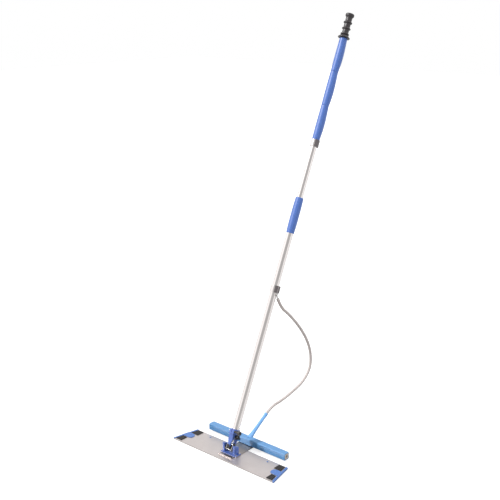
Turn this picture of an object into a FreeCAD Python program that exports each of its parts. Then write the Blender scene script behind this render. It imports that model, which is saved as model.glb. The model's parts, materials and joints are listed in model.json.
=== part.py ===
import FreeCAD, Part
import math
import os
import Sketcher
from FreeCAD import Placement, Rotation, Vector

doc = FreeCAD.newDocument("flat_mop")

# ---------------------------------------------------------------- driving dimensions (mm, degrees)
SIZES = {
    # pad holder: a trapezoid plate with turned-down front and back lips
    "front_length": 457, "back_length": 414, "plate_depth": 100, "plate_top": 6, "sheet_metal": 2,
    "lip_foot": 1.5, "strip_width": 26, "strip_inset": 4,
    # plastic end caps with their tabs, and the four gripper patches
    "cap_width": 4, "cap_flange": 3, "cap_rise": 1.2, "tab_width": 28, "tab_length": 39.75,
    "tab_reach": "=(front_length + back_length) / 4 - tab_length", "tab_rise": 2,
    "patch_rise": 1.8, "patch_gap": 2.5, "front_patch_length": 22, "back_patch_length": 27.5,
    "patch_near": 17, "patch_far": 46, "rivet_x": 131, "rivet_y": 36, "rivet_radius": 1.6,
    "rivet_head_radius": 3, "rivet_head": 1,
    # bracket that lies on the plate under the joint and carries the feed bar
    "bracket_front": 31, "bracket_back": 97, "bracket_waist": 58, "bracket_width": 64,
    "bracket_lip": 4.5,
    # pole axis: its foot is the roll axis, and the pitch axis crosses it lower down
    "pivot_y": 2, "pivot_height": 34, "lean": 24, "pitch_level": -9.2,
    "pitch_y": "=pivot_y + pitch_level * sin(lean)",
    "pitch_z": "=pivot_height + pitch_level * cos(lean)",
    # joint base with two cheeks
    "base_length": 68, "base_depth": 27, "base_floor": 3.5,
    "cheek_inner": 19, "cheek_wall": 7.5, "cheek_half_depth": 11.3, "cheek_front": 45,
    "cheek_back": 35, "base_screw_edge": 3.5, "base_screw_x": "=base_length / 2 - base_screw_edge",
    "base_screw_y": 9, "screw_radius": 1.7,
    "screw_head_radius": 3, "screw_head": 2.4,
    # cross block and its pins
    "cross_radius": 8, "cross_half_depth": 11, "web_half_width": 10, "boss_radius": 8.6,
    "pitch_pin_radius": 4, "pitch_pin_reach": 13, "pitch_head_radius": 6, "pin_head": 2.2,
    "roll_pin_radius": 3.5, "roll_head_radius": 4.5, "clip_thickness": 1.4, "side_gap": 0.3,
    "running_gap": 0.05,
    # fork: two legs, crown and the split socket with its clamp bolt and thumb knob
    "leg_foot_width": 10, "leg_straight": 8, "leg_thickness": 4.8, "crown_foot": 21,
    "crown_top": 42, "crown_half_width": 8.7, "flare_front": 19.5, "socket_radius": 15.2,
    "socket_foot": 40, "socket_top": 57, "socket_floor": 43, "ear_half_width": 9.4,
    "ear_foot": 40, "ear_top": 55.5, "ear_front": 21, "ear_slit": 2.4, "slot_level": 39.2,
    "slot_width": 1.6, "slot_start": 7, "bolt_level": 50.5, "bolt_offset": 16,
    "bolt_radius": 2.4, "bolt_head_radius": 3.8, "bolt_head": 3.6, "knob_radius": 7.5,
    "knob_start": 24, "knob_length": 11, "knob_bore": 8, "knob_neck_radius": 3.6,
    # lock lever with its cam, brake plunger, and the wire bail
    "lever_level": 34, "journal_radius": 6.25, "journal_start": 4.6, "neck_radius": 4.5,
    "arm_start": 16.8, "arm_front": 17, "arm_back": 12, "arm_drop": 8, "arm_width": 6,
    "arm_thickness": 3.4, "cam_radius": 3,
    "cam_throw": 3, "cam_start": -4, "cavity_start": -4.5, "plunger_radius": 4.8,
    "plunger_foot": 10.9, "plunger_shoulder": 23.5, "plunger_neck_radius": 3,
    "plunger_top": 30.2, "wire_radius": 1.3, "bail_half_width": 12, "bail_back": -9,
    "bail_up": 5.5, "bail_front": -10.5, "bail_foot": -13.2, "bail_end": 3,
    # lower tube, its plug, snap button and button spring
    "lower_tube_radius": 12.5, "tube_wall": 1.2, "lower_tube_top": 866, "plug_foot": 44,
    "plug_top": 84, "button_level": 66.5, "button_radius": 2.5, "button_reach": 14.7,
    "button_flange_radius": 3.4, "button_flange_start": 9.1, "button_flange": 1.5,
    "button_bore_start": -8, "spring_radius": 2.5, "spring_wire_radius": 0.35,
    "spring_turns": 7,
    # split clamp rings, the outlet fitting and the nozzle
    "ring_radius": 15.6, "ring_height": 24.6, "outlet_ring_foot": 539, "upper_ring_foot": 1059,
    "split_angle": 35, "split_gap": 0.6, "grub_radius": 2, "grub_start": 12.8, "grub_end": 15.7,
    "grub_angle": 60, "grub_inset": 6, "outlet_offset": 16, "outlet_half_width": 4.4,
    "outlet_reach": 19.8, "fitting_radius": 3.2, "fitting_foot": 531, "fitting_depth": 6,
    "nozzle_tilt": 25, "nozzle_radius": 3, "nozzle_length": 15,
    "barb_length": 9, "barb_radius": 2.6, "channel_radius": 1.4,
    # grips
    "mid_grip_over": 10, "mid_grip_barrel": 56.5, "mid_grip_end_radius": 13.8,
    "mid_grip_radius": 15, "mid_grip_taper": 35, "mid_grip_top": "=lower_tube_top + mid_grip_over",
    "mid_grip_foot": "=mid_grip_top - 2 * mid_grip_taper - mid_grip_barrel",
    "grip_cap": 2, "gland_radius": 13, "sleeve_length": 122.2, "sleeve_seam": 0.3,
    "grip_foot": "=upper_ring_foot + ring_height",
    "grip_top": "=grip_foot + 3 * (sleeve_length + sleeve_seam)", "sleeve_end_radius": 13.4,
    "sleeve_radius": 15.8, "bulge_level": 0.55,
    # upper tube with its twist-lock expander
    "upper_tube_radius": 11, "upper_tube_foot": 620, "upper_tube_end_gap": 2,
    "expander_foot": 592, "expander_shoulder": 596, "bush_top": 618, "expander_plug_top": 642,
    "expander_bush_radius": 11.25, "expander_core_radius": 7, "expander_flange_radius": 10,
    "expander_channel": 2.5,
    # pump: rod, piston, seal, bush and ribbed knob
    "rod_radius": 3, "rod_foot": 1085, "rod_sink": 10, "rod_top": "=knob_top - rod_sink",
    "piston_foot": 1078,
    "piston_height": 22, "piston_radius": 9.7, "seal_level": 1089, "seal_radius": 0.9,
    "seal_reach": 9.75, "top_bush_length": 22, "knob_gap": 0.5, "knob_height": 88.5,
    "knob_top": "=grip_top + knob_gap + knob_height",
    "flange_radius": 21, "flange_thickness": 3.5, "skirt_height": 8, "skirt_radius": 16.5,
    "rib_radius": 15.2, "core_radius": 11, "first_rib": 14.5, "rib_pitch": 21.5, "rib_half": 4,
    "cap_radius": 12,
    # feed bar with plugs, stem and hose
    "bar_half_length": 172.5, "bar_size": 24, "bar_front": 74, "bar_wall": 2.5, "plug_depth": 10,
    "plug_hole": 4, "jet_radius": 1, "jets": 12, "jet_margin": 18,
    "bar_screw_x": 20, "bar_screw_top": 12, "stem_rise": 32.8, "stem_length": 119.5,
    "stem_foot_radius": 7.5, "stem_tip_radius": 5.2, "stem_boss_radius": 10,
    "stem_boss_end": 36, "stem_boss_end_radius": 7, "hose_radius": 5.2, "hose_bore": 3,
    "hose_first_run": 40, "hose_last_run": 32,
}
sheet = doc.addObject("Spreadsheet::Sheet", "dims")
for row, (alias, number) in enumerate(SIZES.items(), start=1):
    sheet.set(f"A{row}", alias)
    sheet.set(f"B{row}", str(number))
    sheet.setAlias(f"B{row}", alias)
doc.recompute()


class SheetValues:
    """Reads the sheet's cells as plain numbers: d.lean is the value of the cell named lean."""

    def __getattr__(self, alias):
        return float(sheet.get(alias))


d = SheetValues()

# ---------------------------------------------------------------- frames and small helpers
GROUND = Placement()
POLE = Placement(Vector(0, d.pivot_y, d.pivot_height), Rotation(Vector(1, 0, 0), -d.lean))
STEM_ROOT = Vector(0, d.bar_front + d.bar_size / 2, d.plate_top + d.sheet_metal + d.bar_size / 2)
STEM = Placement(STEM_ROOT, Rotation(Vector(1, 0, 0), d.stem_rise - 90))
TURNS = {
    "z": Rotation(),
    "-z": Rotation(Vector(1, 0, 0), 180),
    "x": Rotation(Vector(0, 1, 0), 90),
    "-x": Rotation(Vector(0, 1, 0), -90),
    "y": Rotation(Vector(1, 0, 0), -90),
    "-y": Rotation(Vector(1, 0, 0), 90),
}
pieces = []


def spot(x=0, y=0, z=0, axis="z", frame=GROUND):
    """A Placement at a point of a frame, with the shape's own z turned to the named axis."""
    return frame.multiply(Placement(Vector(x, y, z), TURNS[axis]))


def keep(item, label):
    """Names a finished sub-part and puts it on the list that is exported."""
    item.Label = label
    pieces.append(item)
    return item


def rod(name, radius, length, place):
    """A cylinder whose radius and length follow formulas on the sheet."""
    item = doc.addObject("Part::Cylinder", name)
    item.setExpression("Radius", radius)
    item.setExpression("Height", length)
    item.Placement = place
    return item


def block(name, length, width, height, place):
    """A box centred on its place in x and y, standing on it in z; the sizes follow formulas."""
    item = doc.addObject("Part::Box", name)
    for prop, formula in (("Length", length), ("Width", width), ("Height", height)):
        item.setExpression(prop, formula)
    doc.recompute()
    corner = Placement(Vector(-item.Length.Value / 2, -item.Width.Value / 2, 0), Rotation())
    item.Placement = place.multiply(corner)
    return item


def cone(name, foot_radius, top_radius, height, place):
    """A cone frustum whose sizes follow formulas."""
    item = doc.addObject("Part::Cone", name)
    for prop, formula in (("Radius1", foot_radius), ("Radius2", top_radius), ("Height", height)):
        item.setExpression(prop, formula)
    item.Placement = place
    return item


def fuse(name, *shapes):
    """Joins shapes into one solid."""
    item = doc.addObject("Part::MultiFuse", name)
    item.Shapes = list(shapes)
    item.Refine = True
    return item


def cut(name, base, *tools):
    """Takes one or more tools away from a base shape."""
    item = doc.addObject("Part::Cut", name)
    item.Base = base
    item.Tool = tools[0] if len(tools) == 1 else fuse(name + "_tools", *tools)
    item.Refine = True
    return item


def common(name, first, second):
    """The volume that two shapes share."""
    item = doc.addObject("Part::Common", name)
    item.Base = first
    item.Tool = second
    return item


def mirrored(name, source):
    """The same piece on the other side of the middle plane x = 0."""
    item = doc.addObject("Part::Mirroring", name)
    item.Source = source
    item.Normal = Vector(1, 0, 0)
    return item


def group(name, shapes):
    """Identical loose pieces, such as screws, kept together as separate solids."""
    item = doc.addObject("Part::Compound", name)
    item.Links = list(shapes)
    return item


def outline(body, name, plane, corners):
    """A closed polygon sketch on one of the body's planes; each corner is a pair of formulas."""
    sketch = body.newObject("Sketcher::SketchObject", name)
    origin_plane = next(f for f in body.Origin.OriginFeatures if f.Role == plane)
    sketch.AttachmentSupport = [(origin_plane, "")]
    sketch.MapMode = "FlatFace"
    values = [[float(sheet.evalExpression(formula)) for formula in pair] for pair in corners]
    points = [Vector(across, along, 0) for across, along in values]
    for start, end in zip(points, points[1:] + points[:1]):
        sketch.addGeometry(Part.LineSegment(start, end))
    count = len(points)
    for line in range(count):
        sketch.addConstraint(Sketcher.Constraint("Coincident", line, 2, (line + 1) % count, 1))
    for line, (formulas, numbers) in enumerate(zip(corners, values)):
        for kind, formula, number in zip(("DistanceX", "DistanceY"), formulas, numbers):
            index = sketch.addConstraint(Sketcher.Constraint(kind, -1, 1, line, 1, number))
            sketch.setExpression(f"Constraints[{index}]", formula)
    return sketch


def turned(name, corners, place):
    """A body revolved about its own z axis; the corners are (radius, height) formulas."""
    body = doc.addObject("PartDesign::Body", name)
    profile = outline(body, name + "_profile", "XZ_Plane", corners)
    turn = body.newObject("PartDesign::Revolution", name + "_turn")
    turn.Profile = profile
    turn.ReferenceAxis = (profile, ["V_Axis"])
    turn.Angle = 360
    body.Placement = place
    return body


def slab(name, corners, thickness, place):
    """A body padded up from a polygon on its own xy plane."""
    body = doc.addObject("PartDesign::Body", name)
    profile = outline(body, name + "_profile", "XY_Plane", corners)
    pad = body.newObject("PartDesign::Pad", name + "_pad")
    pad.Profile = profile
    pad.setExpression("Length", thickness)
    body.Placement = place
    return body


def between(name, radius, start, end, frame):
    """A round bar from one point of a frame to another."""
    item = doc.addObject("Part::Cylinder", name)
    item.setExpression("Radius", radius)
    run = Vector(*end) - Vector(*start)
    item.Height = run.Length
    item.Placement = frame.multiply(Placement(Vector(*start), Rotation(Vector(0, 0, 1), run)))
    return item


def ball(name, radius, centre, frame):
    """A ball that rounds the corner where two bars meet."""
    item = doc.addObject("Part::Sphere", name)
    item.setExpression("Radius", radius)
    item.Placement = frame.multiply(Placement(Vector(*centre), Rotation()))
    return item


# ---------------------------------------------------------------- pad holder
METAL_FRONT = "(dims.front_length / 2 - dims.cap_width)"
METAL_BACK = "(dims.back_length / 2 - dims.cap_width)"
plate_shell = slab(
    "plate_shell",
    [
        (f"-{METAL_FRONT}", "-dims.plate_depth / 2"),
        (METAL_FRONT, "-dims.plate_depth / 2"),
        (METAL_BACK, "dims.plate_depth / 2"),
        (f"-{METAL_BACK}", "dims.plate_depth / 2"),
    ],
    "dims.plate_top - dims.lip_foot",
    spot(z=d.lip_foot),
)
plate_hollow = block(
    "plate_hollow", "dims.front_length", "dims.plate_depth - 2 * dims.sheet_metal",
    "dims.plate_top - dims.sheet_metal - dims.lip_foot", spot(z=d.lip_foot),
)
base_screw_spots = [
    (side * d.base_screw_x, d.pitch_y + end * d.base_screw_y) for side in (-1, 1) for end in (-1, 1)
]
plate_holes = [
    rod(f"plate_hole_{number}", "dims.screw_radius", "dims.plate_top", spot(x, y))
    for number, (x, y) in enumerate(base_screw_spots)
]
rivet_holes = [
    rod(f"rivet_hole_{number}", "dims.rivet_radius", "dims.plate_top", spot(x, d.rivet_y))
    for number, x in enumerate((-d.rivet_x, d.rivet_x))
]
keep(cut("sole_plate_cut", plate_shell, plate_hollow, *plate_holes, *rivet_holes), "sole_plate")

STRIP_HEIGHT = "dims.plate_top - dims.sheet_metal"
strip_centre = d.plate_depth / 2 - d.strip_inset - d.strip_width / 2
for strip_name, strip_length, strip_y in (
    ("front", "dims.front_length", -strip_centre),
    ("middle", "dims.back_length", 0),
    ("back", "dims.back_length", strip_centre),
):
    strip = block(
        strip_name + "_strip", f"{strip_length} - 2 * dims.strip_width", "dims.strip_width",
        STRIP_HEIGHT, spot(y=strip_y),
    )
    if strip_name == "back":
        strip = cut("back_strip_cut", strip, *rivet_holes)
    keep(strip, "hook_strip_" + strip_name)
rivets = [
    fuse(
        f"rivet_{number}",
        rod(
            f"rivet_shank_{number}", "dims.rivet_radius", "dims.plate_top - dims.lip_foot",
            spot(x, d.rivet_y, d.lip_foot),
        ),
        rod(
            f"rivet_head_{number}", "dims.rivet_head_radius", "dims.rivet_head",
            spot(x, d.rivet_y, d.plate_top),
        ),
    )
    for number, x in enumerate((-d.rivet_x, d.rivet_x))
]
keep(group("rivet_group", rivets), "strip_rivets")

# The plate's end runs in by SLOPE for each millimetre towards the back.
SLOPE = "((dims.front_length - dims.back_length) / 2 / dims.plate_depth)"


def end_at(along, inset="0"):
    """Formula for the x of the plate's slanted right end at a given y, less an inset."""
    return f"(dims.front_length / 2 - {SLOPE} * ({along} + dims.plate_depth / 2) - ({inset}))"


def end_band(name, outer, inner, height, foot):
    """A band along the slanted right end, between two insets from the overall outline."""
    front, back = "-dims.plate_depth / 2", "dims.plate_depth / 2"
    corners = [
        (end_at(front, inner), front), (end_at(front, outer), front),
        (end_at(back, outer), back), (end_at(back, inner), back),
    ]
    return slab(name, corners, height, spot(z=foot))


cap_edge = end_band(
    "cap_edge", "0", "dims.cap_width", "dims.plate_top + dims.cap_rise - dims.lip_foot", d.lip_foot
)
cap_flange = end_band(
    "cap_flange", "0", "dims.cap_width + dims.cap_flange", "dims.cap_rise", d.plate_top
)
cap_tab = slab(
    "cap_tab",
    [
        ("dims.tab_reach + dims.tab_width / 2", "-dims.tab_width / 2"),
        (end_at("-dims.tab_width / 2"), "-dims.tab_width / 2"),
        (end_at("dims.tab_width / 2"), "dims.tab_width / 2"),
        ("dims.tab_reach + dims.tab_width / 2", "dims.tab_width / 2"),
    ],
    "dims.tab_rise",
    spot(z=d.plate_top),
)
cap_nose = rod(
    "cap_nose", "dims.tab_width / 2", "dims.tab_rise",
    spot(d.tab_reach + d.tab_width / 2, 0, d.plate_top),
)
cap_right = keep(fuse("cap_right", cap_edge, cap_flange, cap_tab, cap_nose), "end_cap_right")
keep(mirrored("cap_left", cap_right), "end_cap_left")


def patch(name, length, near, far):
    """A gripper patch in a right-hand corner of the plate, between two y values."""
    inset = "dims.cap_width + dims.cap_flange + dims.patch_gap"
    inner = end_at(f"(({near}) + ({far})) / 2", f"{inset} + {length}")
    corners = [
        (inner, near), (end_at(near, inset), near), (end_at(far, inset), far), (inner, far)
    ]
    return slab(name, corners, "dims.patch_rise", spot(z=d.plate_top))


front_patch = patch("front_patch", "dims.front_patch_length", "-dims.patch_far", "-dims.patch_near")
back_patch = patch("back_patch", "dims.back_patch_length", "dims.patch_near", "dims.patch_far")
keep(front_patch, "grip_patch_front_right")
keep(back_patch, "grip_patch_back_right")
keep(mirrored("front_patch_left", front_patch), "grip_patch_front_left")
keep(mirrored("back_patch_left", back_patch), "grip_patch_back_left")

# ---------------------------------------------------------------- bracket, feed bar and stem
bar_bottom = d.plate_top + d.sheet_metal
bar_middle = d.bar_front + d.bar_size / 2
bracket_sheet = slab(
    "bracket_sheet",
    [
        ("-dims.bracket_waist / 2", "-dims.bracket_front"),
        ("dims.bracket_waist / 2", "-dims.bracket_front"),
        ("dims.bracket_waist / 2", "dims.pitch_y - dims.base_depth / 2"),
        ("dims.base_length / 2", "dims.pitch_y - dims.base_depth / 2"),
        ("dims.base_length / 2", "dims.pitch_y + dims.base_depth / 2"),
        ("dims.bracket_width / 2", "dims.pitch_y + dims.base_depth / 2"),
        ("dims.bracket_width / 2", "dims.bracket_back"),
        ("-dims.bracket_width / 2", "dims.bracket_back"),
        ("-dims.bracket_width / 2", "dims.pitch_y + dims.base_depth / 2"),
        ("-dims.base_length / 2", "dims.pitch_y + dims.base_depth / 2"),
        ("-dims.base_length / 2", "dims.pitch_y - dims.base_depth / 2"),
        ("-dims.bracket_waist / 2", "dims.pitch_y - dims.base_depth / 2"),
    ],
    "dims.sheet_metal",
    spot(z=d.plate_top),
)
bracket_lip = block(
    "bracket_lip_box", "dims.bracket_waist", "dims.sheet_metal", "dims.bracket_lip",
    spot(y=-d.bracket_front + d.sheet_metal / 2, z=d.plate_top),
)
bracket_holes = [
    rod(f"bracket_hole_{number}", "dims.screw_radius", "dims.bar_size", spot(x, y))
    for number, (x, y) in enumerate(base_screw_spots)
]
bar_screw_spots = [(side * d.bar_screw_x, bar_middle) for side in (-1, 1)]
bar_screw_holes = [
    rod(f"bar_screw_hole_{number}", "dims.screw_radius", "dims.bar_size / 2", spot(x, y, 1))
    for number, (x, y) in enumerate(bar_screw_spots)
]
bracket_solid = fuse("bracket_solid", bracket_sheet, bracket_lip)
keep(cut("bracket_cut", bracket_solid, *bracket_holes, *bar_screw_holes), "feed_bracket")

bar_outside = block(
    "bar_outside", "2 * dims.bar_half_length", "dims.bar_size", "dims.bar_size",
    spot(y=bar_middle, z=bar_bottom),
)
bar_inside = block(
    "bar_inside", "2 * dims.bar_half_length", "dims.bar_size - 2 * dims.bar_wall",
    "dims.bar_size - 2 * dims.bar_wall", spot(y=bar_middle, z=bar_bottom + d.bar_wall),
)
jet_span = 2 * (d.bar_half_length - d.jet_margin)
jet_holes = [
    rod(
        f"jet_{number}", "dims.jet_radius", "2 * dims.bar_wall",
        spot(jet_span * (number / (d.jets - 1) - 0.5), d.bar_front + 2 * d.bar_wall, bar_bottom - 1),
    )
    for number in range(int(d.jets))
]
stem_channel = rod("stem_channel", "dims.hose_bore", "dims.stem_length", spot(frame=STEM))
keep(
    cut("bar_cut", bar_outside, bar_inside, stem_channel, *jet_holes, *bar_screw_holes), "feed_bar"
)
plug_shape = block(
    "plug_shape", "dims.plug_depth", "dims.bar_size - 2 * dims.bar_wall",
    "dims.bar_size - 2 * dims.bar_wall",
    spot(d.bar_half_length - d.plug_depth / 2, bar_middle, bar_bottom + d.bar_wall),
)
plug_dish = rod(
    "plug_dish", "dims.plug_hole", "dims.plug_depth",
    spot(d.bar_half_length - d.plug_depth / 2, bar_middle, bar_bottom + d.bar_size / 2, "x"),
)
plug_right = keep(cut("plug_right", plug_shape, plug_dish), "bar_plug_right")
keep(mirrored("plug_left", plug_right), "bar_plug_left")
bar_screws = [
    fuse(
        f"bar_screw_{number}",
        rod(
            f"bar_shank_{number}", "dims.screw_radius", "dims.bar_screw_top - dims.plate_top",
            spot(x, y, d.plate_top),
        ),
        rod(
            f"bar_head_{number}", "dims.screw_head_radius", "dims.screw_head",
            spot(x, y, d.plate_top - d.screw_head),
        ),
    )
    for number, (x, y) in enumerate(bar_screw_spots)
]
keep(group("bar_screw_group", bar_screws), "bar_screws")

stem_tube = cone(
    "stem_tube", "dims.stem_foot_radius", "dims.stem_tip_radius",
    "dims.stem_length - dims.bar_size / 2", spot(z=d.bar_size / 2, frame=STEM),
)
stem_boss = cone(
    "stem_boss", "dims.stem_boss_radius", "dims.stem_boss_end_radius",
    "dims.stem_boss_end - dims.bar_size / 3", spot(z=d.bar_size / 3, frame=STEM),
)
keep(cut("stem_cut", fuse("stem_solid", stem_tube, stem_boss), bar_outside, stem_channel), "feed_stem")
barb_tube = rod(
    "barb_tube", "dims.hose_bore", "2 * dims.barb_length",
    spot(z=d.stem_length - d.barb_length, frame=STEM),
)
barb_channel = rod(
    "barb_channel", "dims.channel_radius", "2 * dims.barb_length",
    spot(z=d.stem_length - d.barb_length, frame=STEM),
)
keep(cut("barb_cut", barb_tube, barb_channel), "stem_barb")

# ---------------------------------------------------------------- joint base and pitch pins
floor_foot = d.plate_top + d.sheet_metal
base_plate = block(
    "base_plate", "dims.base_length", "dims.base_depth", "dims.base_floor",
    spot(y=d.pitch_y, z=floor_foot),
)
# A cheek's top edge slopes down towards the back; the slab's own x axis points down.
CHEEK = [
    ("-dims.plate_top - dims.sheet_metal", "dims.pitch_y - dims.cheek_half_depth"),
    ("-dims.cheek_front", "dims.pitch_y - dims.cheek_half_depth"),
    ("-dims.cheek_back", "dims.pitch_y + dims.cheek_half_depth"),
    ("-dims.plate_top - dims.sheet_metal", "dims.pitch_y + dims.cheek_half_depth"),
]
cheeks = [
    slab(f"cheek_{number}", CHEEK, "dims.cheek_wall", spot(start, axis="x"))
    for number, start in enumerate((-d.cheek_inner - d.cheek_wall, d.cheek_inner))
]
pin_bore = rod(
    "pin_bore", "dims.pitch_pin_radius", "2 * dims.base_length",
    spot(-d.base_length, d.pitch_y, d.pitch_z, "x"),
)
base_holes = [
    rod(f"base_hole_{number}", "dims.screw_radius", "dims.bar_size", spot(x, y))
    for number, (x, y) in enumerate(base_screw_spots)
]
keep(cut("base_cut", fuse("base_solid", base_plate, *cheeks), pin_bore, *base_holes), "joint_base")
base_screws = [
    fuse(
        f"base_screw_{number}",
        rod(
            f"base_shank_{number}", "dims.screw_radius",
            "2 * dims.sheet_metal + dims.base_floor", spot(x, y, d.plate_top - d.sheet_metal),
        ),
        rod(
            f"base_head_{number}", "dims.screw_head_radius", "dims.screw_head",
            spot(x, y, floor_foot + d.base_floor),
        ),
    )
    for number, (x, y) in enumerate(base_screw_spots)
]
keep(group("base_screw_group", base_screws), "base_screws")


def pitch_pin(number, side):
    """A shouldered pin: pressed in its cheek, it ends inside the cross block's boss."""
    axis = "x" if side > 0 else "-x"
    outside = side * (d.cheek_inner + d.cheek_wall)
    shank = rod(
        f"pitch_shank_{number}", "dims.pitch_pin_radius",
        "dims.cheek_inner + dims.cheek_wall - dims.pitch_pin_reach",
        spot(side * d.pitch_pin_reach, d.pitch_y, d.pitch_z, axis),
    )
    head = rod(
        f"pitch_head_{number}", "dims.pitch_head_radius", "dims.pin_head",
        spot(outside, d.pitch_y, d.pitch_z, axis),
    )
    return fuse(f"pitch_pin_{number}", shank, head)


keep(group("pitch_pin_group", [pitch_pin(1, -1), pitch_pin(2, 1)]), "pitch_pins")

# ---------------------------------------------------------------- cross block, roll pin and bail
cross_barrel = rod(
    "cross_barrel", "dims.cross_radius", "2 * dims.cross_half_depth",
    spot(y=-d.cross_half_depth, axis="y", frame=POLE),
)
boss_reach = d.cheek_inner - d.side_gap
cross_bosses = rod(
    "cross_bosses", "dims.boss_radius", "2 * (dims.cheek_inner - dims.side_gap)",
    spot(-boss_reach, z=d.pitch_level, axis="x", frame=POLE),
)
cross_web = block(
    "cross_web", "2 * dims.web_half_width", "2 * dims.cross_radius", "-dims.pitch_level",
    spot(z=d.pitch_level, frame=POLE),
)
boss_bores = [
    rod(
        f"boss_bore_{side + 2}", "dims.pitch_pin_radius + dims.running_gap",
        "dims.cheek_inner - dims.pitch_pin_reach + 1",
        spot(
            side * (d.pitch_pin_reach - 1), z=d.pitch_level, axis="x" if side > 0 else "-x",
            frame=POLE,
        ),
    )
    for side in (-1, 1)
]
roll_bore = rod(
    "roll_bore", "dims.roll_pin_radius", "4 * dims.cross_half_depth",
    spot(y=-2 * d.cross_half_depth, axis="y", frame=POLE),
)
bail_bore = rod(
    "bail_bore", "dims.wire_radius + dims.running_gap", "4 * dims.bail_half_width",
    spot(-2 * d.bail_half_width, d.bail_back, d.bail_up, "x", POLE),
)
keep(
    cut(
        "cross_cut", fuse("cross_solid", cross_barrel, cross_bosses, cross_web), *boss_bores,
        roll_bore, bail_bore,
    ),
    "cross_block",
)
leg_outside = d.cross_half_depth + d.side_gap + d.leg_thickness
head_seat = leg_outside + d.side_gap
roll_shank = rod(
    "roll_shank", "dims.roll_pin_radius",
    "2 * (dims.cross_half_depth + dims.leg_thickness) + 3 * dims.side_gap + dims.pin_head",
    spot(y=-head_seat, axis="y", frame=POLE),
)
roll_head = rod(
    "roll_head", "dims.roll_head_radius", "dims.pin_head",
    spot(y=-head_seat - d.pin_head, axis="y", frame=POLE),
)
keep(fuse("roll_pin_solid", roll_shank, roll_head), "roll_pin")
clip_disc = rod(
    "clip_disc", "dims.roll_head_radius", "dims.clip_thickness",
    spot(y=head_seat, axis="y", frame=POLE),
)
keep(cut("clip_cut", clip_disc, roll_shank), "roll_clip")

bail_corners = []
for side in (-1, 1):
    x = side * d.bail_half_width
    path = [
        (side * d.bail_end, d.bail_back, d.bail_up), (x, d.bail_back, d.bail_up),
        (x, d.bail_front, d.bail_foot),
    ]
    for step, (start, end) in enumerate(zip(path, path[1:])):
        name = f"bail_{side + 2}_{step}"
        bail_corners.append(between(name, "dims.wire_radius", start, end, POLE))
        bail_corners.append(ball(name + "_corner", "dims.wire_radius", end, POLE))
bail_bar = between(
    "bail_bar", "dims.wire_radius", (-d.bail_half_width, d.bail_front, d.bail_foot),
    (d.bail_half_width, d.bail_front, d.bail_foot), POLE,
)
keep(fuse("bail_solid", bail_bar, *bail_corners), "lock_bail")

# ---------------------------------------------------------------- fork with its clamp and lock
LEG = [
    ("-dims.leg_foot_width / 2", "0"),
    ("dims.leg_foot_width / 2", "0"),
    ("dims.leg_foot_width / 2", "dims.leg_straight"),
    ("dims.crown_half_width", "dims.crown_foot"),
    ("dims.crown_half_width", "dims.crown_top"),
    ("-dims.crown_half_width", "dims.crown_top"),
    ("-dims.crown_half_width", "dims.crown_foot"),
    ("-dims.leg_foot_width / 2", "dims.leg_straight"),
]
legs = []
for number, start in enumerate((-d.cross_half_depth - d.side_gap, leg_outside)):
    legs.append(slab(f"leg_{number}", LEG, "dims.leg_thickness", spot(y=start, axis="-y", frame=POLE)))
    legs.append(
        rod(
            f"leg_foot_{number}", "dims.leg_foot_width / 2", "dims.leg_thickness",
            spot(y=start, axis="-y", frame=POLE),
        )
    )
crown = block(
    "crown", "2 * dims.crown_half_width",
    "2 * (dims.cross_half_depth + dims.side_gap + dims.leg_thickness)",
    "dims.crown_top - dims.crown_foot", spot(z=d.crown_foot, frame=POLE),
)
# The front leg's face runs forward towards the ears; the slab's own x axis points down the pole.
leg_flare = slab(
    "leg_flare",
    [
        ("-dims.crown_foot", "0"), ("-dims.crown_top", "0"), ("-dims.crown_top", "-dims.flare_front"),
        (
            "-dims.crown_foot",
            "-dims.cross_half_depth - dims.side_gap - dims.leg_thickness",
        ),
    ],
    "2 * dims.crown_half_width", spot(-d.crown_half_width, axis="x", frame=POLE),
)
socket = rod(
    "socket", "dims.socket_radius", "dims.socket_top - dims.socket_foot",
    spot(z=d.socket_foot, frame=POLE),
)
ears = block(
    "ears", "2 * dims.ear_half_width", "dims.ear_front", "dims.ear_top - dims.ear_foot",
    spot(y=-d.ear_front / 2, z=d.ear_foot, frame=POLE),
)
socket_bore = rod(
    "socket_bore", "dims.lower_tube_radius", "dims.socket_top",
    spot(z=d.socket_floor, frame=POLE),
)
ear_slit = block(
    "ear_slit_box", "dims.ear_slit", "dims.socket_radius", "dims.socket_top",
    spot(y=-d.lower_tube_radius - d.socket_radius / 2 + 1, z=d.socket_floor + 2, frame=POLE),
)
clamp_slot = block(
    "clamp_slot", "4 * dims.ear_half_width", "dims.ear_front", "dims.slot_width",
    spot(y=-d.slot_start - d.ear_front / 2, z=d.slot_level, frame=POLE),
)
bolt_hole = rod(
    "bolt_hole", "dims.bolt_radius + dims.running_gap", "4 * dims.ear_half_width",
    spot(-2 * d.ear_half_width, -d.bolt_offset, d.bolt_level, "x", POLE),
)
leg_bore = rod(
    "leg_bore", "dims.roll_pin_radius + dims.running_gap", "4 * dims.cross_half_depth",
    spot(y=-2 * d.cross_half_depth, axis="y", frame=POLE),
)
cam_cavity = rod(
    "cam_cavity", "dims.journal_radius + dims.running_gap",
    "dims.crown_half_width - dims.cavity_start", spot(d.cavity_start, 0, d.lever_level, "x", POLE),
)
plunger_bore = rod(
    "plunger_bore", "dims.plunger_radius + dims.running_gap",
    "dims.plunger_shoulder + dims.side_gap - dims.cross_radius",
    spot(z=d.cross_radius, frame=POLE),
)
plunger_neck_bore = rod(
    "plunger_neck_bore", "dims.plunger_neck_radius + dims.running_gap",
    "dims.lever_level - dims.cross_radius", spot(z=d.cross_radius, frame=POLE),
)
fork_solid = fuse("fork_solid", crown, leg_flare, socket, ears, *legs)
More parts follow.
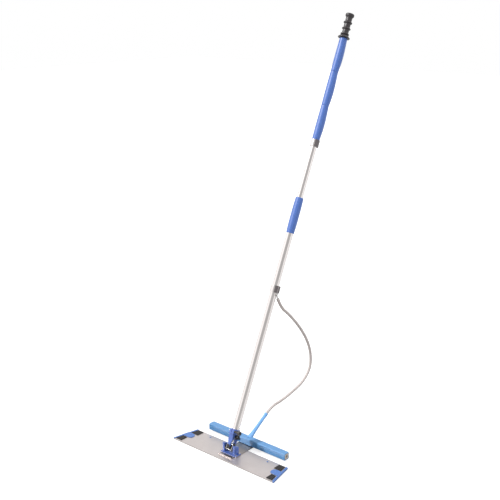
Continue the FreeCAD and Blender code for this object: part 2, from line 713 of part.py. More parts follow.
keep(
    cut(
        "fork_cut", fork_solid, socket_bore, ear_slit, clamp_slot, bolt_hole, leg_bore,
        cam_cavity, plunger_bore, plunger_neck_bore,
    ),
    "fork",
)

bolt_shank = rod(
    "bolt_shank", "dims.bolt_radius", "dims.ear_half_width + dims.knob_start + dims.knob_bore - 1",
    spot(-d.ear_half_width, -d.bolt_offset, d.bolt_level, "x", POLE),
)
bolt_head = rod(
    "bolt_head_disc", "dims.bolt_head_radius", "dims.bolt_head",
    spot(-d.ear_half_width - d.bolt_head, -d.bolt_offset, d.bolt_level, "x", POLE),
)
keep(fuse("bolt_solid", bolt_shank, bolt_head), "clamp_bolt")
knob_disc = rod(
    "knob_disc", "dims.knob_radius", "dims.knob_length",
    spot(d.knob_start, -d.bolt_offset, d.bolt_level, "x", POLE),
)
knob_collar = rod(
    "knob_collar", "dims.knob_neck_radius",
    "dims.knob_start - dims.ear_half_width - dims.side_gap",
    spot(d.ear_half_width + d.side_gap, -d.bolt_offset, d.bolt_level, "x", POLE),
)
knob_thread = rod(
    "knob_thread", "dims.bolt_radius + dims.running_gap", "dims.knob_start + dims.knob_bore",
    spot(0, -d.bolt_offset, d.bolt_level, "x", POLE),
)
keep(cut("knob_cut", fuse("knob_solid", knob_disc, knob_collar), knob_thread), "clamp_knob")

lever_journal = rod(
    "lever_journal", "dims.journal_radius", "dims.crown_half_width - dims.journal_start",
    spot(d.journal_start, 0, d.lever_level, "x", POLE),
)
lever_neck = rod(
    "lever_neck", "dims.neck_radius", "dims.arm_start + 1 - dims.crown_half_width",
    spot(d.crown_half_width, 0, d.lever_level, "x", POLE),
)
lever_cam = rod(
    "lever_cam", "dims.cam_radius", "dims.journal_start - dims.cam_start + 1",
    spot(d.cam_start, d.cam_throw, d.lever_level, "x", POLE),
)
lever_hub = rod(
    "lever_hub", "dims.journal_radius", "dims.arm_thickness",
    spot(d.arm_start, 0, d.lever_level, "x", POLE),
)
lever_arm = block(
    "lever_arm", "dims.arm_thickness", "dims.arm_front + dims.arm_back", "dims.arm_width",
    spot(
        d.arm_start + d.arm_thickness / 2, (d.arm_back - d.arm_front) / 2,
        d.lever_level - d.arm_drop, frame=POLE,
    ),
)
keep(
    fuse("lever_solid", lever_journal, lever_neck, lever_cam, lever_hub, lever_arm), "lock_lever"
)
plunger_body = rod(
    "plunger_body", "dims.plunger_radius", "dims.plunger_shoulder - dims.plunger_foot",
    spot(z=d.plunger_foot, frame=POLE),
)
plunger_neck = rod(
    "plunger_neck", "dims.plunger_neck_radius", "dims.plunger_top - dims.plunger_foot",
    spot(z=d.plunger_foot, frame=POLE),
)
keep(fuse("plunger_solid", plunger_body, plunger_neck), "brake_plunger")

# ---------------------------------------------------------------- lower tube, plug and button
BORE = "dims.lower_tube_radius - dims.tube_wall"
tube_stock = turned(
    "tube_stock",
    [
        (BORE, "dims.socket_floor"), ("dims.lower_tube_radius", "dims.socket_floor"),
        ("dims.lower_tube_radius", "dims.lower_tube_top"), (BORE, "dims.lower_tube_top"),
    ],
    POLE,
)
button_window = rod(
    "button_window", "dims.button_radius + dims.running_gap", "dims.lower_tube_radius * 2",
    spot(0, 0, d.button_level, "x", POLE),
)
outlet_window = rod(
    "outlet_window", "dims.channel_radius", "dims.lower_tube_radius * 2",
    spot(0, 0, d.outlet_ring_foot + d.ring_height / 2, "x", POLE),
)
keep(cut("lower_tube_cut", tube_stock, button_window, outlet_window), "lower_tube")

plug_stock = rod(
    "plug_stock", BORE, "dims.plug_top - dims.plug_foot", spot(z=d.plug_foot, frame=POLE)
)
button_pocket = rod(
    "button_pocket", "dims.button_flange_radius + dims.running_gap",
    "dims.lower_tube_radius - dims.button_bore_start",
    spot(d.button_bore_start, 0, d.button_level, "x", POLE),
)
keep(cut("tube_plug_cut", plug_stock, button_pocket), "tube_plug")
button_pin = rod(
    "button_pin", "dims.button_radius", "dims.button_reach - dims.button_flange_start",
    spot(d.button_flange_start, 0, d.button_level, "x", POLE),
)
button_flange = rod(
    "button_flange_disc", "dims.button_flange_radius", "dims.button_flange",
    spot(d.button_flange_start, 0, d.button_level, "x", POLE),
)
keep(fuse("button_solid", button_pin, button_flange), "snap_button")

coil_length = d.button_flange_start - d.button_bore_start - 2 * d.spring_wire_radius
coil = Part.makeHelix(coil_length / d.spring_turns, coil_length, d.spring_radius)
coil_section = Part.Wire(
    Part.makeCircle(d.spring_wire_radius, Vector(d.spring_radius, 0, 0), Vector(0, 1, 0))
)
spring = doc.addObject("Part::Feature", "spring")
spring.Shape = Part.Wire(coil).makePipeShell([coil_section], True, True)
spring.Placement = spot(
    d.button_bore_start + d.spring_wire_radius, 0, d.button_level, "x", POLE
)
keep(spring, "button_spring")


# ---------------------------------------------------------------- split clamp rings and outlet
def half_ring(name, foot, tube_radius, side):
    """One half of a split ring round a tube; side 1 is the half turned to the back right."""
    ring = turned(
        name + "_ring",
        [
            (tube_radius, foot), ("dims.ring_radius", foot),
            ("dims.ring_radius", f"{foot} + dims.ring_height"),
            (tube_radius, f"{foot} + dims.ring_height"),
        ],
        POLE,
    )
    turn = Placement(Vector(), Rotation(Vector(0, 0, 1), d.split_angle))
    middle = side * (2 * d.ring_radius + d.split_gap / 2)
    half_space = block(
        name + "_half", "4 * dims.ring_radius", "4 * dims.ring_radius", "2 * dims.ring_height",
        POLE.multiply(turn).multiply(spot(middle, 0, float(sheet.evalExpression(foot)) - 1)),
    )
    return common(name, ring, half_space)


def grub_screws(name, foot):
    """Two grub screws, one above the other, that bite on the tube through the back half."""
    screws = []
    turn = Placement(Vector(), Rotation(Vector(0, 0, 1), d.grub_angle))
    for number, level in enumerate((d.grub_inset, d.ring_height - d.grub_inset)):
        place = POLE.multiply(turn).multiply(spot(d.grub_start, 0, foot + level, "x"))
        length = "dims.grub_end - dims.grub_start"
        screws.append(rod(f"{name}_{number}", "dims.grub_radius", length, place))
    return screws


keep(
    half_ring("outlet_front", "dims.outlet_ring_foot", "dims.lower_tube_radius", -1), "outlet_ring"
)
outlet_half = half_ring("outlet_back", "dims.outlet_ring_foot", "dims.lower_tube_radius", 1)
outlet_bulge = block(
    "outlet_bulge", "dims.outlet_reach - dims.lower_tube_radius", "2 * dims.outlet_half_width",
    "dims.ring_height",
    spot((d.outlet_reach + d.lower_tube_radius) / 2, z=d.outlet_ring_foot, frame=POLE),
)
tube_space = rod(
    "tube_space", "dims.lower_tube_radius", "2 * dims.ring_height",
    spot(z=d.outlet_ring_foot - d.ring_height / 2, frame=POLE),
)
fitting_stock = rod(
    "fitting_stock", "dims.fitting_radius",
    "dims.outlet_ring_foot + dims.fitting_depth - dims.fitting_foot",
    spot(d.outlet_offset, 0, d.fitting_foot, frame=POLE),
)
outlet_grubs = grub_screws("outlet_grub", d.outlet_ring_foot)
outlet_solid = fuse("outlet_solid", outlet_half, outlet_bulge)
keep(
    cut("outlet_block_cut", outlet_solid, tube_space, fitting_stock, *outlet_grubs), "outlet_block"
)
keep(group("outlet_grub_group", outlet_grubs), "outlet_grub_screws")

outlet_point = POLE.multVec(Vector(d.outlet_offset, 0, d.fitting_foot))
NOZZLE = Placement(outlet_point, Rotation(Vector(1, 0, 0), 180 + d.nozzle_tilt))
nozzle_body = cone(
    "nozzle_body", "dims.nozzle_radius", "dims.nozzle_radius", "dims.nozzle_length",
    spot(frame=NOZZLE),
)
nozzle_barb = rod(
    "nozzle_barb", "dims.barb_radius", "dims.barb_length", spot(z=d.nozzle_length, frame=NOZZLE)
)
nozzle_channel = rod(
    "nozzle_channel", "dims.channel_radius", "2 * dims.nozzle_length + dims.barb_length",
    spot(z=-d.nozzle_length / 2, frame=NOZZLE),
)
keep(cut("fitting_cut", fitting_stock, nozzle_body), "outlet_fitting")
keep(cut("nozzle_cut", fuse("nozzle_solid", nozzle_body, nozzle_barb), nozzle_channel), "hose_nozzle")

# ---------------------------------------------------------------- mid grip and gland
MID_CAP = "dims.mid_grip_top - dims.grip_cap"
mid_grip = turned(
    "mid_grip_body",
    [
        ("dims.lower_tube_radius", "dims.mid_grip_foot"),
        ("dims.mid_grip_end_radius", "dims.mid_grip_foot"),
        ("dims.mid_grip_radius", "dims.mid_grip_foot + dims.mid_grip_taper"),
        ("dims.mid_grip_radius", "dims.mid_grip_top - dims.mid_grip_taper"),
        ("dims.mid_grip_end_radius", "dims.mid_grip_top"),
        ("dims.upper_tube_radius + dims.side_gap", "dims.mid_grip_top"),
        ("dims.upper_tube_radius + dims.side_gap", MID_CAP),
        ("dims.gland_radius", MID_CAP),
        ("dims.gland_radius", "dims.lower_tube_top"),
        ("dims.lower_tube_radius", "dims.lower_tube_top"),
    ],
    POLE,
)
keep(mid_grip, "mid_grip")
gland = turned(
    "gland_body",
    [
        ("dims.upper_tube_radius + dims.running_gap", "dims.lower_tube_top"),
        ("dims.gland_radius", "dims.lower_tube_top"), ("dims.gland_radius", MID_CAP),
        ("dims.upper_tube_radius + dims.running_gap", MID_CAP),
    ],
    POLE,
)
keep(gland, "tube_gland")

# ---------------------------------------------------------------- upper tube and expander
UPPER_BORE = "dims.upper_tube_radius - dims.tube_wall"
UPPER_END = "dims.grip_top - dims.upper_tube_end_gap"
upper_tube = turned(
    "upper_tube_body",
    [
        (UPPER_BORE, "dims.upper_tube_foot"), ("dims.upper_tube_radius", "dims.upper_tube_foot"),
        ("dims.upper_tube_radius", UPPER_END), (UPPER_BORE, UPPER_END),
    ],
    POLE,
)
keep(upper_tube, "upper_tube")
expander_core = turned(
    "expander_core_body",
    [
        ("dims.expander_channel", "dims.expander_foot"),
        ("dims.expander_flange_radius", "dims.expander_foot"),
        ("dims.expander_flange_radius", "dims.expander_shoulder - dims.side_gap"),
        ("dims.expander_core_radius", "dims.expander_shoulder - dims.side_gap"),
        ("dims.expander_core_radius", "dims.upper_tube_foot"),
        (UPPER_BORE, "dims.upper_tube_foot"), (UPPER_BORE, "dims.expander_plug_top"),
        ("dims.expander_channel", "dims.expander_plug_top"),
    ],
    POLE,
)
keep(expander_core, "expander_core")
expander_bush = turned(
    "expander_bush_body",
    [
        ("dims.expander_core_radius + dims.running_gap", "dims.expander_shoulder"),
        ("dims.expander_bush_radius", "dims.expander_shoulder"),
        ("dims.expander_bush_radius", "dims.bush_top"),
        ("dims.expander_core_radius + dims.running_gap", "dims.bush_top"),
    ],
    POLE,
)
keep(expander_bush, "expander_bush")
keep(half_ring("upper_front", "dims.upper_ring_foot", "dims.upper_tube_radius", -1), "grip_ring")
upper_grubs = grub_screws("upper_grub", d.upper_ring_foot)
upper_back = half_ring("upper_back", "dims.upper_ring_foot", "dims.upper_tube_radius", 1)
keep(cut("upper_block_cut", upper_back, *upper_grubs), "grip_ring_block")
keep(group("upper_grub_group", upper_grubs), "grip_ring_grub_screws")

SLEEVE_STEP = "(dims.sleeve_length + dims.sleeve_seam)"
for number in range(3):
    sleeve_foot = f"(dims.grip_foot + {number} * {SLEEVE_STEP})"
    sleeve_top = f"{sleeve_foot} + {SLEEVE_STEP} - dims.sleeve_seam"
    sleeve = turned(
        f"sleeve_{number}",
        [
            ("dims.upper_tube_radius", sleeve_foot), ("dims.sleeve_end_radius", sleeve_foot),
            ("dims.sleeve_radius", f"{sleeve_foot} + dims.bulge_level * {SLEEVE_STEP}"),
            ("dims.sleeve_end_radius", sleeve_top), ("dims.upper_tube_radius", sleeve_top),
        ],
        POLE,
    )
    keep(sleeve, f"grip_sleeve_{number + 1}")

# ---------------------------------------------------------------- pump: knob, rod, piston, bush
top_bush = turned(
    "top_bush_body",
    [
        ("dims.rod_radius + dims.running_gap", f"{UPPER_END} - dims.top_bush_length"),
        (UPPER_BORE, f"{UPPER_END} - dims.top_bush_length"), (UPPER_BORE, UPPER_END),
        ("dims.rod_radius + dims.running_gap", UPPER_END),
    ],
    POLE,
)
keep(top_bush, "top_bush")
pump_rod = rod(
    "pump_rod_bar", "dims.rod_radius", "dims.rod_top - dims.rod_foot",
    spot(z=d.rod_foot, frame=POLE),
)
keep(pump_rod, "pump_rod")
piston_stock = rod(
    "piston_stock", "dims.piston_radius", "dims.piston_height", spot(z=d.piston_foot, frame=POLE)
)
seal = doc.addObject("Part::Torus", "seal")
seal.setExpression("Radius1", "dims.seal_reach - dims.seal_radius")
seal.setExpression("Radius2", "dims.seal_radius")
seal.Placement = spot(z=d.seal_level, frame=POLE)
keep(cut("piston_cut", piston_stock, pump_rod, seal), "piston")
keep(seal, "piston_seal")

KNOB_FOOT = "(dims.grip_top + dims.knob_gap)"
knob_profile = [
    ("0", KNOB_FOOT),
    ("dims.flange_radius", KNOB_FOOT),
    ("dims.flange_radius", f"{KNOB_FOOT} + dims.flange_thickness"),
    ("dims.skirt_radius", f"{KNOB_FOOT} + dims.skirt_height"),
    ("dims.core_radius", f"{KNOB_FOOT} + dims.skirt_height"),
]
for rib in range(4):
    rib_middle = f"{KNOB_FOOT} + dims.first_rib + {rib} * dims.rib_pitch"
    for radius in ("dims.core_radius", "dims.rib_radius"):
        knob_profile.append((radius, f"{rib_middle} - dims.rib_half"))
    if rib < 3:
        for radius in ("dims.rib_radius", "dims.core_radius"):
            knob_profile.append((radius, f"{rib_middle} + dims.rib_half"))
knob_profile.append(("dims.rib_radius", "dims.knob_top - dims.rib_half"))
knob_profile.append(("dims.cap_radius", "dims.knob_top"))
knob_profile.append(("0", "dims.knob_top"))
pump_knob_stock = turned("pump_knob_body", knob_profile, POLE)
keep(cut("pump_knob_cut", pump_knob_stock, pump_rod), "pump_knob")

# ---------------------------------------------------------------- feed hose
hose_start = NOZZLE.multVec(Vector(0, 0, d.nozzle_length))
hose_end = STEM.multVec(Vector(0, 0, d.stem_length))
HOSE_ROUTE = [
    hose_start,
    NOZZLE.multVec(Vector(0, 0, d.nozzle_length + d.hose_first_run)),
    Vector(15.5, 288, 432),
    Vector(14.5, 352, 366),
    Vector(13, 398, 303),
    Vector(11, 424, 245),
    Vector(9, 427, 185),
    Vector(6.5, 388, 141),
    Vector(4, 330, 121),
    Vector(1.5, 268, 106),
    STEM.multVec(Vector(0, 0, d.stem_length + d.hose_last_run)),
    hose_end,
]




def rounded_route(route):
    """Straight runs joined by tangent arcs; each arc's radius fits the shorter run beside it."""
    edges = []
    tail = route[0]
    for before, corner, after in zip(route, route[1:], route[2:]):
        into = (corner - before).normalize()
        out = (after - corner).normalize()
        half_turn = into.getAngle(out) / 2
        reach = 0.45 * min((corner - before).Length, (after - corner).Length)
        radius = reach / math.tan(half_turn)
        start = corner - into * reach
        end = corner + out * reach
        bisector = (out - into).normalize()
        middle = corner + bisector * (radius / math.cos(half_turn) - radius)
        print(f"hose bend radius {radius:.0f} mm")
        edges.append(Part.LineSegment(tail, start).toShape())
        edges.append(Part.Arc(start, middle, end).toShape())
        tail = end
    edges.append(Part.LineSegment(tail, route[-1]).toShape())
    return edges


def hose_piece(label, edges):
    """A hollow tube of the hose's section along part of its centre line."""
    line = Part.Wire(edges)
    start = edges[0].valueAt(edges[0].FirstParameter)
    heading = edges[0].tangentAt(edges[0].FirstParameter)
    solids = []
    for radius in (d.hose_radius, d.hose_bore):
        section = Part.Wire(Part.makeCircle(radius, start, heading))
        solids.append(line.makePipeShell([section], True, False))
    piece = doc.addObject("Part::Feature", label + "_sweep")
    piece.Shape = solids[0].cut(solids[1])
    keep(piece, label)
    section_area = math.pi * (d.hose_radius ** 2 - d.hose_bore ** 2)
    print(f"{label}: length {line.Length:.1f} mm, volume {piece.Shape.Volume:.0f}")
    print(f"{label}: section times length {section_area * line.Length:.0f}")


# The two stretches meet face to face halfway along one straight run.
hose_edges = rounded_route(HOSE_ROUTE)
split_place = len(hose_edges) // 2
split_run = hose_edges[split_place]
split_start = split_run.valueAt(split_run.FirstParameter)
split_end = split_run.valueAt(split_run.LastParameter)
split_middle = (split_start + split_end) / 2
above = Part.LineSegment(split_start, split_middle).toShape()
below = Part.LineSegment(split_middle, split_end).toShape()
hose_piece("feed_hose_upper", hose_edges[:split_place] + [above])
hose_piece("feed_hose_lower", [below] + hose_edges[split_place + 1:])
print(f"hose halves meet at {split_middle}")

# ---------------------------------------------------------------- check and write
doc.recompute()
for item in doc.Objects:
    if "Invalid" in item.State or "Error" in item.State:
        raise RuntimeError(f"{item.Name} failed: {item.State}")
os.makedirs("parts", exist_ok=True)
for item in pieces:
    if item.Shape.isNull() or not item.Shape.isValid():
        raise RuntimeError(f"{item.Label} has no valid shape")
    item.Shape.exportStep(f"parts/{item.Label}.step")
    print(f"{item.Label}: {len(item.Shape.Solids)} solid(s), {item.Shape.Volume:.0f} mm3")
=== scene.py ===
import json
import math

import bpy
from mathutils import Matrix, Vector


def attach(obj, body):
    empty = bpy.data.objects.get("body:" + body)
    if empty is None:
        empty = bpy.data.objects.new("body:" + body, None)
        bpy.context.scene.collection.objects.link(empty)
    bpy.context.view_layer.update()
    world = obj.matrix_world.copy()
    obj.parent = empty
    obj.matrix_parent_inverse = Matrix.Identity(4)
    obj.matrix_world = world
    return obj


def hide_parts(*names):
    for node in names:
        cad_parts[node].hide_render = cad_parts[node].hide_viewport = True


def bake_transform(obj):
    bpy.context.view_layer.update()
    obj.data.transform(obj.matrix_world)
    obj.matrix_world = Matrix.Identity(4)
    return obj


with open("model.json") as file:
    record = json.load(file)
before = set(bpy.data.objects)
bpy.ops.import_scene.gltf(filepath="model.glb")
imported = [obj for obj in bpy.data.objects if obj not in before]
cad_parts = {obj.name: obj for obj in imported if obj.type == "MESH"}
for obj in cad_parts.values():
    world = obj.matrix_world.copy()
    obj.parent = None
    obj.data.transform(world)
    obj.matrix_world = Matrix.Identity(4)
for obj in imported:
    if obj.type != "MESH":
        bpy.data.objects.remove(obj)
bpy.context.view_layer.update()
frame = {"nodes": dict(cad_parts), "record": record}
bpy.ops.object.select_all(action="DESELECT")
SCENE = bpy.context.scene

# ---------------------------------------------------------------- camera
# A tall narrow object on a floor, seen from its front right and a little above, through a long lens
# that keeps the pole straight and takes in the whole mop with some room round it.
camera_data = bpy.data.cameras.new("camera")
camera_data.sensor_width = 36
camera_data.lens = 64.8
camera_data.clip_end = 200
camera = bpy.data.objects.new("camera", camera_data)
camera.location = (1.8552, -2.0356, 1.5099)
camera.rotation_euler = (math.radians(90 - 15.922), 0, math.radians(41.011))
SCENE.collection.objects.link(camera)
SCENE.camera = camera
SCENE.view_settings.view_transform = "Standard"


# ---------------------------------------------------------------- studio
# A white sweep that keeps a faint soft shadow, a white surround that is a little darker on the front
# right, as where a light tent stands open, one main lamp high on the front left, a weak broad one above
# right and a low one from the right that the metal does not mirror.
def linear(code):
    """An sRGB hex colour as linear red, green, blue and alpha."""
    channels = [int(code[i:i + 2], 16) / 255 for i in (1, 3, 5)]
    return [c / 12.92 if c <= 0.04045 else ((c + 0.055) / 1.055) ** 2.4 for c in channels] + [1]


def node(tree, kind, inputs=None, **settings):
    """Adds one node; an input given as another node's output is linked, any other value is set."""
    added = tree.nodes.new(kind)
    for name, value in settings.items():
        setattr(added, name, value)
    for name, value in (inputs or {}).items():
        if isinstance(value, bpy.types.NodeSocket):
            tree.links.new(value, added.inputs[name])
        else:
            added.inputs[name].default_value = value
    return added


def new_material(name):
    """An empty material: the material, its tree and its output node."""
    material = bpy.data.materials.new(name)
    material.use_nodes = True
    material.node_tree.nodes.clear()
    return material, material.node_tree, material.node_tree.nodes.new("ShaderNodeOutputMaterial")


FLOOR_HALF = 14.0
bpy.ops.mesh.primitive_plane_add(size=2 * FLOOR_HALF, location=(0, 0, 0))
floor = bpy.context.object
floor.name = "floor"
white_sweep, tree, out = new_material("white_sweep")
ray = node(tree, "ShaderNodeLightPath")
seen = node(tree, "ShaderNodeMath", {
    0: ray.outputs["Is Camera Ray"], 1: ray.outputs["Is Transmission Ray"]}, operation="MAXIMUM")
matt = node(tree, "ShaderNodeMix", {
    0: ray.outputs["Is Glossy Ray"], 6: linear("#A6A6A6"), 7: linear("#CCCCCC")}, data_type="RGBA")
plain = node(tree, "ShaderNodeBsdfDiffuse", {"Color": matt.outputs[2]})
shadowed = node(tree, "ShaderNodeBsdfDiffuse", {"Color": (0.5, 0.5, 0.5, 1)})
glow = node(tree, "ShaderNodeEmission", {"Color": (1, 1, 1, 1), "Strength": 0.72})
lifted = node(tree, "ShaderNodeAddShader", {0: shadowed.outputs[0], 1: glow.outputs[0]})
mixed = node(tree, "ShaderNodeMixShader", {0: seen.outputs[0], 1: plain.outputs[0], 2: lifted.outputs[0]})
tree.links.new(mixed.outputs[0], out.inputs["Surface"])
floor.data.materials.append(white_sweep)

OPEN_SIDE = (0.69, -0.724, 0)
world = bpy.data.worlds.new("studio")
SCENE.world = world
world.use_nodes = True
tree = world.node_tree
tree.nodes.clear()
out = tree.nodes.new("ShaderNodeOutputWorld")
ray = node(tree, "ShaderNodeLightPath")
heading = node(tree, "ShaderNodeTexCoord")
flat = node(tree, "ShaderNodeVectorMath", {
    0: heading.outputs["Generated"], 1: (1, 1, 0)}, operation="MULTIPLY")
level_heading = node(tree, "ShaderNodeVectorMath", {0: flat.outputs[0]}, operation="NORMALIZE")
towards = node(tree, "ShaderNodeVectorMath", {
    0: level_heading.outputs[0], 1: OPEN_SIDE}, operation="DOT_PRODUCT")
tent = node(tree, "ShaderNodeMapRange", {
    "Value": towards.outputs["Value"], "From Min": 0.6, "From Max": 0.85, "To Min": 1.12, "To Max": 0.52},
    interpolation_type="SMOOTHSTEP")
dim = node(tree, "ShaderNodeMapRange", {
    "Value": towards.outputs["Value"], "From Min": 0.0, "From Max": 0.9, "To Min": 0.78, "To Max": 0.1})
gloss = node(tree, "ShaderNodeMix", {0: ray.outputs["Is Glossy Ray"], 2: dim.outputs[0], 3: tent.outputs[0]})
behind = node(tree, "ShaderNodeMix", {0: ray.outputs["Is Camera Ray"], 2: gloss.outputs[0], 3: 1.0})
level = node(tree, "ShaderNodeMix", {0: ray.outputs["Is Transmission Ray"], 2: behind.outputs[0], 3: 1.0})
sky = node(tree, "ShaderNodeBackground", {"Color": (1, 1, 1, 1), "Strength": level.outputs[0]})
tree.links.new(sky.outputs[0], out.inputs["Surface"])


def lamp(name, energy, spread, direction):
    """A sun lamp that shines from a direction; its spread in degrees sets how soft its shadows are."""
    data = bpy.data.lights.new(name, "SUN")
    data.energy = energy
    data.angle = math.radians(spread)
    sun = bpy.data.objects.new(name, data)
    sun.rotation_euler = Vector(direction).to_track_quat("Z", "Y").to_euler()
    SCENE.collection.objects.link(sun)
    return sun


lamp("key", 3.2, 5, (-0.44, -0.61, 0.66))
lamp("fill", 0.9, 50, (0.45, 0.2, 0.87))
side = lamp("side", 1.0, 40, (0.9, -0.35, 0.25))
side.visible_glossy = False


# ---------------------------------------------------------------- sole plate
# A trapezoid of 2 mm aluminium sheet with turned-down front and back edges, brushed along its length
# and clear anodised. It is stamped and folded in one piece, so its folds are slightly rounded.
def mottled(name, colours, rough, grain, bump=0.0, metallic=0.0, turn=(0, 0, 0), **fixed):
    """A shader of two close colours, mottled by noise whose grain size is given in metres on three
    axes; the same noise varies the roughness and gives a fine bump, its height in metres. Other values
    go to the shader's inputs of those names."""
    material, tree, out = new_material(name)
    place = node(tree, "ShaderNodeTexCoord")
    sized = node(tree, "ShaderNodeMapping", {
        "Vector": place.outputs["Object"], "Rotation": turn, "Scale": grain}, vector_type="TEXTURE")
    mottle = node(tree, "ShaderNodeTexNoise", {"Vector": sized.outputs[0], "Scale": 1.0, "Detail": 4.0})
    wide = node(tree, "ShaderNodeTexNoise", {"Vector": place.outputs["Object"], "Scale": 30.0, "Detail": 2.0})
    both = node(tree, "ShaderNodeMix", {0: 0.35, 2: mottle.outputs[0], 3: wide.outputs[0]})
    spread = node(tree, "ShaderNodeMapRange", {"Value": both.outputs[0], "From Min": 0.3, "From Max": 0.7})
    colour = node(tree, "ShaderNodeMix", {
        0: spread.outputs[0], 6: linear(colours[0]), 7: linear(colours[1])}, data_type="RGBA")
    sheen = node(tree, "ShaderNodeMapRange", {
        "Value": spread.outputs[0], "To Min": rough[0], "To Max": rough[1]})
    relief = node(tree, "ShaderNodeBump", {"Height": mottle.outputs[0], "Distance": bump, "Strength": 1.0})
    shader = node(tree, "ShaderNodeBsdfPrincipled", {
        "Base Color": colour.outputs[2], "Roughness": sheen.outputs[0], "Metallic": metallic,
        "Normal": relief.outputs[0]})
    for socket, value in fixed.items():
        shader.inputs[socket.replace("_", " ")].default_value = value
    tree.links.new(shader.outputs[0], out.inputs["Surface"])
    return material


SAME_CORNER, SAME_FACE_DEGREES = 0.000002, 1
NODES = frame["nodes"]
RIDES_ON = {name: body for body, names in frame["record"]["behaviour"]["bodies"].items() for name in names}


def only(piece):
    """Makes one object the only selected one, ready for an operator."""
    bpy.ops.object.select_all(action="DESELECT")
    piece.select_set(True)
    bpy.context.view_layer.objects.active = piece


def smooth(piece, degrees=40):
    """Smooth shading that leaves edges sharper than an angle crisp and the large flat faces flat."""
    only(piece)
    bpy.ops.object.shade_smooth_by_angle(angle=math.radians(degrees))
    by_area = piece.modifiers.new("by_area", "WEIGHTED_NORMAL")
    by_area.keep_sharp = True
    bpy.ops.object.modifier_apply(modifier=by_area.name)


def rounded(piece, width, degrees=40, segments=2):
    """Breaks the piece's sharp edges with a bevel of that width in metres."""
    only(piece)
    bevel = piece.modifiers.new("broken_edges", "BEVEL")
    bevel.width = width
    bevel.segments = segments
    bevel.limit_method = "ANGLE"
    bevel.angle_limit = math.radians(degrees)
    bpy.ops.object.modifier_apply(modifier=bevel.name)
    smooth(piece, degrees)


def fitted(piece, material, name):
    """Finishes a piece that stands for a CAD node: its material and the body it rides on."""
    piece.data.materials.clear()
    piece.data.materials.append(material)
    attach(piece, RIDES_ON[name])
    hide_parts(name)


def clean_copy(name):
    """A copy of a CAD node's mesh with shared corners and whole flat faces, at the frame's origin."""
    piece = bpy.data.objects.new(name + "_finished", NODES[name].data.copy())
    SCENE.collection.objects.link(piece)
    piece.matrix_world = NODES[name].matrix_world.copy()
    only(piece)
    bpy.ops.object.transform_apply(location=True, rotation=True, scale=True)
    bpy.ops.mesh.customdata_custom_splitnormals_clear()
    bpy.ops.object.mode_set(mode="EDIT")
    bpy.ops.mesh.select_all(action="SELECT")
    bpy.ops.mesh.remove_doubles(threshold=SAME_CORNER)
    bpy.ops.mesh.dissolve_limited(angle_limit=math.radians(SAME_FACE_DEGREES))
    bpy.ops.object.mode_set(mode="OBJECT")
    return piece


def softened(name, material, width, segments=2):
    """A CAD node's own shape with its sharp edges broken, finished in a material."""
    piece = clean_copy(name)
    rounded(piece, width, segments=segments)
    fitted(piece, material, name)


brushed_sheet = mottled("brushed_sheet", ("#CCC5C3", "#C0B9B7"), (0.4, 0.52), (0.03, 0.0004, 0.0004),
                        bump=0.000006, metallic=1.0)
softened("sole_plate", brushed_sheet, 0.0006)

# ---------------------------------------------------------------- hook strips
# Three bands of woven nylon hook tape, glued under the plate: rows of stiff little hooks on a close
# weave, which hold the mop pad's loop back.
HOOK_PITCH = 0.0016
hook_tape, tree, out = new_material("hook_tape")
place = node(tree, "ShaderNodeTexCoord")
grid = node(tree, "ShaderNodeMapping", {
    "Vector": place.outputs["Object"], "Scale": (HOOK_PITCH,) * 3}, vector_type="TEXTURE")
hooks = node(tree, "ShaderNodeTexVoronoi", {"Vector": grid.outputs[0], "Scale": 1.0, "Randomness": 0.35})
tips = node(tree, "ShaderNodeMapRange", {
    "Value": hooks.outputs["Distance"], "From Min": 0.15, "From Max": 0.5, "To Min": 1.0, "To Max": 0.0})
weave = node(tree, "ShaderNodeTexWave", {"Vector": grid.outputs[0], "Scale": 0.9, "Distortion": 1.0})
height = node(tree, "ShaderNodeMath", {
    0: tips.outputs[0], 1: weave.outputs["Fac"], 2: 0.25}, operation="MULTIPLY_ADD")
colour = node(tree, "ShaderNodeMix", {
    0: tips.outputs[0], 6: linear("#242427"), 7: linear("#56565B")}, data_type="RGBA")
relief = node(tree, "ShaderNodeBump", {"Height": height.outputs[0], "Distance": 0.0005, "Strength": 1.0})
shader = node(tree, "ShaderNodeBsdfPrincipled", {
    "Base Color": colour.outputs[2], "Roughness": 0.62, "Normal": relief.outputs[0]})
shader.inputs["Sheen Weight"].default_value = 0.2
tree.links.new(shader.outputs[0], out.inputs["Surface"])
for name in ("hook_strip_front", "hook_strip_middle", "hook_strip_back"):
    softened(name, hook_tape, 0.0005)

# ---------------------------------------------------------------- end caps and rivets
# Moulded nylon caps pushed over the plate's slanted ends, each with a wide tab that lies on the plate;
# two blue nylon rivets hold the middle strip through the plate.
cap_nylon = mottled("cap_nylon", ("#4A70B0", "#4267A6"), (0.34, 0.46), (0.0009,) * 3, bump=0.000008)
for name in ("end_cap_left", "end_cap_right"):
    softened(name, cap_nylon, 0.0007, segments=3)
softened("strip_rivets", cap_nylon, 0.0007, segments=3)

# ---------------------------------------------------------------- gripper patches
# Black rubber pads let into the plate's four corners, with rows of low nubs that hold a cloth by its
# corners. Each pad is moulded in one piece.
NUB_PITCH, NUB_RADIUS, NUB_RISE, NUB_MARGIN = 0.0044, 0.00135, 0.0007, 0.0028
TOP_BAND, END_BAND = 0.0002, 0.001
grip_rubber = mottled("grip_rubber", ("#1B1819", "#272425"), (0.5, 0.68), (0.0006,) * 3, bump=0.00002)


